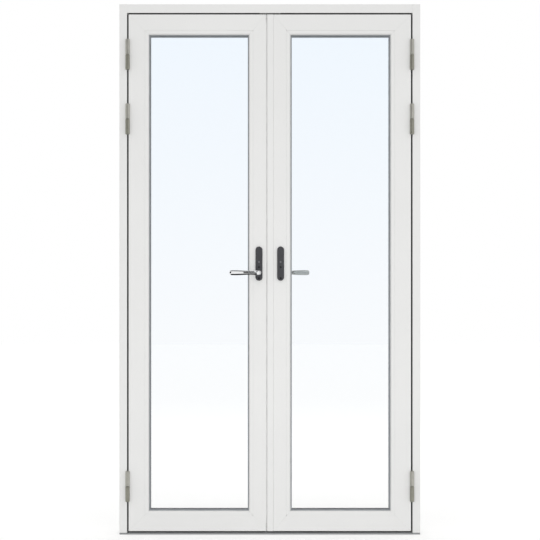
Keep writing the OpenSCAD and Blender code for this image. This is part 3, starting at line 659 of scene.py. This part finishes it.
class FRENCHDOORS_OT_glazing(bpy.types.Operator):
    """Panes with ground edges, rubber lips, spacers and packers"""

    bl_idname = "frenchdoors.glazing"
    bl_label = "Glazing"

    def execute(self, context):
        sizes = context.scene.french_doors.sizes
        for side in SIDES:
            for pane in ("outer_pane", "inner_pane"):
                glass = dress(f"{side}_{pane}", "glass", sizes.metal_round)
                # Daylight passes clear glass, so a pane throws no shadow
                glass.visible_shadow = False
            dress(f"{side}_gaskets", "gasket", sizes.rubber_round)
            dress(f"{side}_spacer", "spacer", 0)
            dress(f"{side}_setting_blocks", "packer", sizes.metal_round)
        return {"FINISHED"}


class FRENCHDOORS_OT_seals(bpy.types.Operator):
    """Door seals round the frame and on the meeting post, and the rubber that lines the reveals"""

    bl_idname = "frenchdoors.seals"
    bl_label = "Seals"

    # Of a strip, in thicknesses: the banks of its channel, the channel's depth and the edges' rounding
    BANK = 2
    CHANNEL = 1 / 3
    ROUND = 1 / 4

    def strip(self, corner, opposite, facing, sizes):
        """A flat rubber strip between two corners, with a shallow channel along the side that shows."""
        span = opposite - corner
        bpy.ops.object.select_all(action="DESELECT")
        bpy.ops.mesh.primitive_cube_add(
            size=1, location=(corner + opposite) / 2, scale=[abs(side) for side in span])
        piece = bpy.context.object
        settle(piece)
        edit(piece)
        select_facing(piece, facing)
        bpy.ops.mesh.inset(thickness=self.BANK * sizes.strip, depth=-self.CHANNEL * sizes.strip)
        close()
        soften(piece, self.ROUND * sizes.strip)
        smooth(piece)
        return piece

    def line_jamb(self, side, sizes):
        """Strips on the reveal of a jamb, between the hinge plates."""
        low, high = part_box(f"{side}_hinge_stile")
        pin_low, pin_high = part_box(f"{side}_hinge_pins")
        leaf_x = low.x if side == "left" else high.x
        reveal_x = pin_low.x + pin_high.x - leaf_x
        facing = Vector((math.copysign(1, leaf_x - reveal_x), 0, 0))
        heights = [low.z]
        hinges = islands(bpy.data.objects[f"{side}_frame_hinges_finished"])
        for hinge_low, hinge_high in sorted(hinges, key=lambda box: box[0].z):
            heights += [hinge_low.z - sizes.strip, hinge_high.z + sizes.strip]
        heights.append(high.z)
        strips = []
        for bottom, top in zip(heights[::2], heights[1::2]):
            corner = Vector((reveal_x, low.y + sizes.strip_inset, bottom))
            opposite = Vector((reveal_x + facing.x * sizes.strip, high.y - 2 * sizes.strip_inset, top))
            strips.append(self.strip(corner, opposite, facing, sizes))
        mount(join(strips, f"{side}_reveal_strip"), body_of(f"{side}_jamb"), "seal")

    def line_head(self, sizes):
        """Strips on the reveal of the head, either side of the keep."""
        keep_low, keep_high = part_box("head_keep")
        strips = []
        for side in SIDES:
            low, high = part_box(f"{side}_hinge_stile")
            outer_x, inner_x = (low.x, keep_low.x) if side == "left" else (high.x, keep_high.x)
            corner = Vector((outer_x, low.y + sizes.strip_inset, keep_low.z))
            opposite = Vector((inner_x, high.y - 2 * sizes.strip_inset, keep_low.z - sizes.strip))
            strips.append(self.strip(corner, opposite, Vector((0, 0, -1)), sizes))
        mount(join(strips, "head_reveal_strip"), body_of("head"), "seal")

    def execute(self, context):
        sizes = context.scene.french_doors.sizes
        dress("frame_seal", "seal", sizes.rubber_round)
        dress("meeting_seal", "flap", sizes.rubber_round)
        for side in SIDES:
            self.line_jamb(side, sizes)
        self.line_head(sizes)
        return {"FINISHED"}


class FRENCHDOORS_OT_hinges(bpy.types.Operator):
    """Hinge halves, their pins and their countersunk screws"""

    bl_idname = "frenchdoors.hinges"
    bl_label = "Hinges"

    # Screws along a plate: share of its half length, and to which side of its middle line
    SCREWS = ((-0.76, -1), (-0.3, 1), (0.3, -1), (0.76, 1))
    # How far a screw stands from that line, as a share of its head
    STAGGER = 0.7

    def screws(self, side, half, hinges, sizes):
        """Screws on the plates of one side's hinge halves."""
        node = f"{side}_{half}"
        stile_low, stile_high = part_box(f"{side}_hinge_stile")
        pin_low, pin_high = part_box(f"{side}_hinge_pins")
        axis_x = (pin_low.x + pin_high.x) / 2
        leaf_x = stile_low.x if side == "left" else stile_high.x
        towards_leaf = math.copysign(1, leaf_x - axis_x)
        facing = Vector((towards_leaf if half == "frame_hinges" else -towards_leaf, 0, 0))
        # Each plate lies on its own side of the gap, and its screws look across to the other plate
        face_x = axis_x - facing.x * (abs(leaf_x - axis_x) - sizes.hinge_plate)
        middle_y = (stile_low.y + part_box(node)[1].y) / 2
        points = []
        for low, high in islands(hinges):
            for share, step in self.SCREWS:
                z = (low.z + high.z) / 2 + share * (high.z - low.z) / 2
                points.append(Vector((face_x, middle_y + step * sizes.screw_head * self.STAGGER, z)))
        mount(repeat(screw(facing, sizes), points, node + "_screws"), body_of(node), "lock")

    def execute(self, context):
        sizes = context.scene.french_doors.sizes
        for side in SIDES:
            for half, look in (("frame_hinges", "hinge_low"), ("leaf_hinges", "hinge")):
                hinges = dress(f"{side}_{half}", look, sizes.metal_round)
                self.screws(side, half, hinges, sizes)
            dress(f"{side}_hinge_pins", "lock", 0)
        return {"FINISHED"}


class FRENCHDOORS_OT_handle_plates(bpy.types.Operator):
    """Handle plates with their screws and buttons"""

    bl_idname = "frenchdoors.handle_plates"
    bl_label = "Handle Plates"

    def spot(self, node, facing, axis, sizes):
        """The small button above the lever."""
        low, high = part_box(node)
        face_y = low.y if facing.y < 0 else high.y
        piece = button(facing, sizes.spot, sizes.spot_proud)
        place = Vector(((low.x + high.x) / 2, face_y, axis.z + sizes.spot_rise))
        mount(repeat(piece, [place], node + "_spot"), body_of(node), "spot")

    def screws(self, node, sizes):
        """The plates' screws, with a socket in each end."""
        piece = dress(node, "screw", 0)
        low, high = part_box(node)
        radius = (high.x - low.x) / 2
        for y in (low.y, high.y):
            for z in (low.z + radius, high.z - radius):
                end = Vector((low.x + radius, y, z))
                cut_socket(piece, end, Vector((0, 1, 0)), sizes.socket, sizes.socket_depth)

    def execute(self, context):
        sizes = context.scene.french_doors.sizes
        for side in SIDES:
            low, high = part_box(f"{side}_spindle")
            for plate, outward in (("outer_plate", -1), ("inner_plate", 1)):
                dress(f"{side}_{plate}", "plate", 0)
                self.spot(f"{side}_{plate}", Vector((0, outward, 0)), (low + high) / 2, sizes)
            self.screws(f"{side}_plate_screws", sizes)
        return {"FINISHED"}


class FRENCHDOORS_OT_levers(bpy.types.Operator):
    """Polished levers, each drawn out from its neck, round the bend and along the grip"""

    bl_idname = "frenchdoors.levers"
    bl_label = "Levers"

    # Along the grip, from the bend to the tip: share of the reach, shares of the grip's height and
    # thickness, and millimetres that its middle line comes back towards the door
    GRIP = ((0.14, 0.82, 1.0, 0.2), (0.24, 0.78, 0.98, 1.6), (0.36, 0.80, 0.94, 3.6),
            (0.48, 0.88, 0.88, 5.4), (0.60, 0.97, 0.84, 6.2), (0.78, 1.02, 0.80, 6.3),
            (0.93, 1.01, 0.74, 6.3), (0.985, 0.84, 0.58, 6.3))
    # Thickness of the grip as a share of its height
    FLATNESS = 0.55
    # Sides of the neck, steps round the bend, and the inset of the neck's end as a share of its radius
    NECK_SIDES = 24
    BEND_STEPS = 8
    END_INSET = 0.2
    # Points of a lever closer than this are one
    SEAM_MERGE = 0.01 * MM
    # How often its faces are divided to smooth it
    DIVISIONS = 2

    def lever(self, node, plate, bend, look):
        """One lever, from its seat on the plate to the tip of its grip."""
        low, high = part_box(node)
        plate_low, plate_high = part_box(plate)
        axis_x = (plate_low.x + plate_high.x) / 2
        axis_z = (low.z + high.z) / 2
        reach = -1 if axis_x - low.x > high.x - axis_x else 1
        out = -1 if low.y < plate_low.y else 1
        neck = min(axis_x - low.x, high.x - axis_x)
        grip_y = low.y + neck if out < 0 else high.y - neck
        tip = low.x if reach < 0 else high.x
        start_y = high.y if out < 0 else low.y
        grip_h = high.z - low.z
        grip_t = grip_h * self.FLATNESS
        bpy.ops.object.select_all(action="DESELECT")
        bpy.ops.mesh.primitive_circle_add(
            vertices=self.NECK_SIDES, radius=neck, location=(axis_x, start_y, axis_z),
            rotation=(math.pi / 2, 0, 0))
        piece = bpy.context.object
        piece.name = node + "_finished"
        settle(piece)
        edit(piece)
        bpy.ops.mesh.extrude_region_move(
            TRANSFORM_OT_translate={"value": (0, grip_y - out * bend - start_y, 0)})
        bpy.ops.mesh.spin(
            steps=self.BEND_STEPS, angle=math.pi / 2, axis=(0, 0, reach * out),
            center=(axis_x + reach * bend, grip_y - out * bend, axis_z))
        here = axis_x + reach * bend
        size = Vector((0, 2 * neck, 2 * neck))
        line_y = grip_y
        for share, tall, thick, back in self.GRIP:
            there = axis_x + (tip - axis_x) * share
            next_y = grip_y - out * back * MM
            bpy.ops.mesh.extrude_region_move(
                TRANSFORM_OT_translate={"value": (there - here, next_y - line_y, 0)})
            wanted = Vector((0, grip_t * thick, grip_h * tall))
            bpy.ops.transform.resize(value=(1, wanted.y / size.y, wanted.z / size.z),
                                     center_override=(there, next_y, axis_z))
            here = there
            line_y = next_y
            size = wanted
        bpy.ops.mesh.extrude_region_move(TRANSFORM_OT_translate={"value": (tip - here, 0, 0)})
        bpy.ops.mesh.merge(type="CENTER")
        bpy.ops.mesh.select_all(action="SELECT")
        bpy.ops.mesh.remove_doubles(threshold=self.SEAM_MERGE)
        bpy.ops.mesh.select_all(action="DESELECT")
        bpy.ops.mesh.select_non_manifold()
        bpy.ops.mesh.edge_face_add()
        bpy.ops.mesh.inset(thickness=neck * self.END_INSET)
        bpy.ops.mesh.select_all(action="SELECT")
        bpy.ops.mesh.normals_make_consistent(inside=False)
        close()
        bpy.ops.object.modifier_add(type="SUBSURF")
        piece.modifiers[-1].levels = self.DIVISIONS
        piece.modifiers[-1].render_levels = self.DIVISIONS
        bpy.ops.object.modifier_apply(modifier=piece.modifiers[-1].name)
        bpy.ops.object.shade_smooth()
        mount(piece, body_of(node), look, node)

    def execute(self, context):
        bend = context.scene.french_doors.sizes.bend
        self.lever("left_outer_lever", "left_outer_plate", bend, "lever")
        # The levers on the far side take the satin metal with the darker tint of painted shade
        self.lever("left_inner_lever", "left_inner_plate", bend, "shaded_far_lever")
        self.lever("right_inner_lever", "right_inner_plate", bend, "shaded_far_lever")
        return {"FINISHED"}


class FRENCHDOORS_OT_lock_works(bpy.types.Operator):
    """Faceplates, rods, keeps, gear cases, pinions and spindles in plated steel, with their screws"""

    bl_idname = "frenchdoors.lock_works"
    bl_label = "Lock Works"

    PARTS = ("faceplate", "gear_case", "gear_cover", "upper_rod", "lower_rod", "spindle", "pinion")
    # Screws along a faceplate, as shares of its height
    SCREWS = (0.02, 0.17, 0.33, 0.67, 0.83, 0.98)

    def faceplate_screws(self, side, sizes):
        """A row of screws down the edge of a leaf."""
        node = f"{side}_faceplate"
        low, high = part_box(node)
        face_x = high.x if side == "left" else low.x
        facing = Vector((1 if side == "left" else -1, 0, 0))
        middle_y = (low.y + high.y) / 2
        points = [Vector((face_x, middle_y, low.z + share * (high.z - low.z))) for share in self.SCREWS]
        mount(repeat(screw(facing, sizes), points, node + "_screws"), body_of(node), "lock")

    def keep_screw(self, node, outward, sizes):
        """The screw between the two bolt holes of a keep."""
        low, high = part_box(node)
        middle = (low + high) / 2
        point = Vector((middle.x, middle.y, high.z if outward > 0 else low.z))
        head = screw(Vector((0, 0, outward)), sizes)
        mount(repeat(head, [point], node + "_screw"), body_of(node), "lock")

    def execute(self, context):
        sizes = context.scene.french_doors.sizes
        for node, outward in (("head_keep", -1), ("sill_keep", 1)):
            dress(node, "lock", sizes.metal_round)
            self.keep_screw(node, outward, sizes)
        for side in SIDES:
            self.faceplate_screws(side, sizes)
            for part in self.PARTS:
                dress(f"{side}_{part}", "lock", 0)
        return {"FINISHED"}


class FRENCHDOORS_OT_stage(bpy.types.Operator):
    """Pale floor, white surroundings, soft lamps, dark cards and the camera"""

    bl_idname = "frenchdoors.stage"
    bl_label = "Stage"

    # Width of the floor, and how far it lies under the doors, in metres
    FLOOR_WIDTH = 30
    FLOOR_DROP = 0.2 * MM
    CARD_TINT = "#1C1C1E"

    def directly_seen(self, tree):
        """1 where the camera looks straight, in a mirror or through glass, and 0 for gathered light."""
        path = add_node(tree, "ShaderNodeLightPath").outputs
        mirrored = add_node(tree, "ShaderNodeMath", {0: path["Is Camera Ray"], 1: path["Is Glossy Ray"]},
                            operation="MAXIMUM")
        return add_node(tree, "ShaderNodeMath", {0: mirrored.outputs[0], 1: path["Is Transmission Ray"]},
                        operation="MAXIMUM").outputs[0]

    def floor(self, studio):
        """A wide floor in pale paper, which keeps the doors' shadow."""
        bpy.ops.object.select_all(action="DESELECT")
        bpy.ops.mesh.primitive_plane_add(size=self.FLOOR_WIDTH, location=(0, 0, -self.FLOOR_DROP))
        floor = bpy.context.object
        floor.name = "studio_floor"
        material, tree, place = new_material("pale_studio_paper")
        clouds = add_node(tree, "ShaderNodeTexNoise", {"Vector": place, "Scale": grain(900)})
        paper = add_node(tree, "ShaderNodeMix", {
            MIX_FACTOR: clouds.outputs["Fac"], MIX_A: darker(studio.floor, 0.01), MIX_B: studio.floor},
            data_type="RGBA")
        glow = add_node(tree, "ShaderNodeMath", {0: self.directly_seen(tree), 1: studio.floor_glow},
                        operation="MULTIPLY")
        shader = add_node(tree, "ShaderNodeBsdfPrincipled", {
            "Base Color": paper.outputs[MIX_RESULT], "Roughness": 0.9,
            "Emission Color": (1, 1, 1, 1), "Emission Strength": glow.outputs[0]})
        add_node(tree, "ShaderNodeOutputMaterial", {"Surface": shader.outputs["BSDF"]})
        floor.data.materials.append(material)
        return floor

    def surroundings(self, studio):
        """A white room: fully white where it is seen, and weaker as a light."""
        world = bpy.data.worlds.new("white_studio")
        world.use_nodes = True
        tree = world.node_tree
        tree.nodes.clear()
        level = add_node(tree, "ShaderNodeMapRange", {
            "Value": self.directly_seen(tree), "To Min": studio.fill, "To Max": 1.0})
        white = add_node(tree, "ShaderNodeBackground", {
            "Color": (1, 1, 1, 1), "Strength": level.outputs["Result"]})
        add_node(tree, "ShaderNodeOutputWorld", {"Surface": white.outputs["Background"]})
        bpy.context.scene.world = world

    def lamps(self, studio, floor):
        """Soft lamps in front of the doors, low in front and high behind, which no mirror or pane shows."""
        # Name, place, tilt, diameter in metres and power
        lamps = (("key_lamp", (0, -4.6, 1.0), math.pi / 2, 1.2, studio.key),
                 ("low_lamp", (0, -1.5, 0.28), math.pi / 2, 0.5, studio.low),
                 ("back_lamp", (0, 4.0, 3.4), -math.radians(56), 1.2, studio.back))
        for name, place, tilt, size, power in lamps:
            bpy.ops.object.light_add(type="AREA", location=place, rotation=(tilt, 0, 0))
            lamp = bpy.context.object
            lamp.name = name
            lamp.data.shape = "DISK"
            lamp.data.size = size
            lamp.data.energy = power
            lamp.visible_camera = False
            lamp.visible_glossy = False
            lamp.visible_transmission = False
        # The key lamp hangs close above the floor, and would burn a bright pool into it
        unlit = bpy.data.collections.new("floor_without_key_light")
        unlit.objects.link(floor)
        unlit.collection_objects[0].light_linking.link_state = "EXCLUDE"
        bpy.data.objects["key_lamp"].light_linking.receiver_collection = unlit

    def dark_cards(self):
        """Dark cards that only a mirror sees, so that polished metal shows its form."""
        # Name, place, tilt and width in metres. The card under the lever lies edge-on to the camera's
        # mirror image, so that the panes don't show it from the front
        cards = (("overhead_card", (0, -2.2, 3.4), 0, 3.0),
                 ("lever_card", (-0.105, -0.13, 0.985), math.radians(0.5), 0.12),
                 ("left_card", (-2.95, -4.5, 1.1), math.pi / 2, 4.0))
        for name, centre, tilt, size in cards:
            material, tree, _ = new_material(name + "_paper")
            shader = add_node(tree, "ShaderNodeBsdfPrincipled", {
                "Base Color": linear(self.CARD_TINT), "Roughness": 0.9})
            add_node(tree, "ShaderNodeOutputMaterial", {"Surface": shader.outputs["BSDF"]})
            bpy.ops.object.select_all(action="DESELECT")
            bpy.ops.mesh.primitive_plane_add(size=size, location=centre, rotation=(tilt, 0, 0))
            card = bpy.context.object
            card.name = name
            card.data.materials.append(material)
            card.visible_camera = False
            card.visible_diffuse = False
            card.visible_shadow = False
            card.visible_transmission = False

    def camera(self, studio):
        """The camera, straight in front of the doors as in the photograph."""
        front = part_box("left_jamb")[0].y
        bpy.ops.object.camera_add(
            location=(studio.aside, front - studio.distance, studio.height), rotation=(math.pi / 2, 0, 0))
        camera = bpy.context.object
        camera.data.angle = 2 * math.atan(studio.view / 2 / studio.distance)
        bpy.context.scene.camera = camera

    def execute(self, context):
        studio = context.scene.french_doors.studio
        floor = self.floor(studio)
        self.surroundings(studio)
        self.lamps(studio, floor)
        self.dark_cards()
        self.camera(studio)
        context.scene.view_settings.view_transform = "Standard"
        return {"FINISHED"}


class FRENCHDOORS_PT_panel(bpy.types.Panel):
    """Settings and steps of the doors"""

    bl_idname = "FRENCHDOORS_PT_panel"
    bl_label = "French Doors"
    bl_space_type = "VIEW_3D"
    bl_region_type = "UI"
    bl_category = "French Doors"

    def draw(self, context):
        settings = context.scene.french_doors
        for group in (settings.finishes, settings.sizes, settings.studio):
            box = self.layout.box()
            for name in group.bl_rna.properties.keys():
                if name not in ("rna_type", "name"):
                    box.prop(group, name)
        for step in STEPS:
            self.layout.operator(step.bl_idname)


STEPS = (
    FRENCHDOORS_OT_frame_members,
    FRENCHDOORS_OT_leaf_members,
    FRENCHDOORS_OT_glazing,
    FRENCHDOORS_OT_hinges,
    FRENCHDOORS_OT_seals,
    FRENCHDOORS_OT_handle_plates,
    FRENCHDOORS_OT_levers,
    FRENCHDOORS_OT_lock_works,
    FRENCHDOORS_OT_stage,
)
CLASSES = (DoorFinishes, DoorSizes, DoorStudio, DoorSettings) + STEPS + (FRENCHDOORS_PT_panel,)


def register():
    for each in CLASSES:
        bpy.utils.register_class(each)
    bpy.types.Scene.french_doors = bpy.props.PointerProperty(type=DoorSettings)


def unregister():
    del bpy.types.Scene.french_doors
    for each in reversed(CLASSES):
        bpy.utils.unregister_class(each)


def main():
    register()
    bpy.ops.frenchdoors.frame_members()
    bpy.ops.frenchdoors.leaf_members()
    bpy.ops.frenchdoors.glazing()
    bpy.ops.frenchdoors.hinges()
    bpy.ops.frenchdoors.seals()
    bpy.ops.frenchdoors.handle_plates()
    bpy.ops.frenchdoors.levers()
    bpy.ops.frenchdoors.lock_works()
    bpy.ops.frenchdoors.stage()


if __name__ == "__main__":
    main()
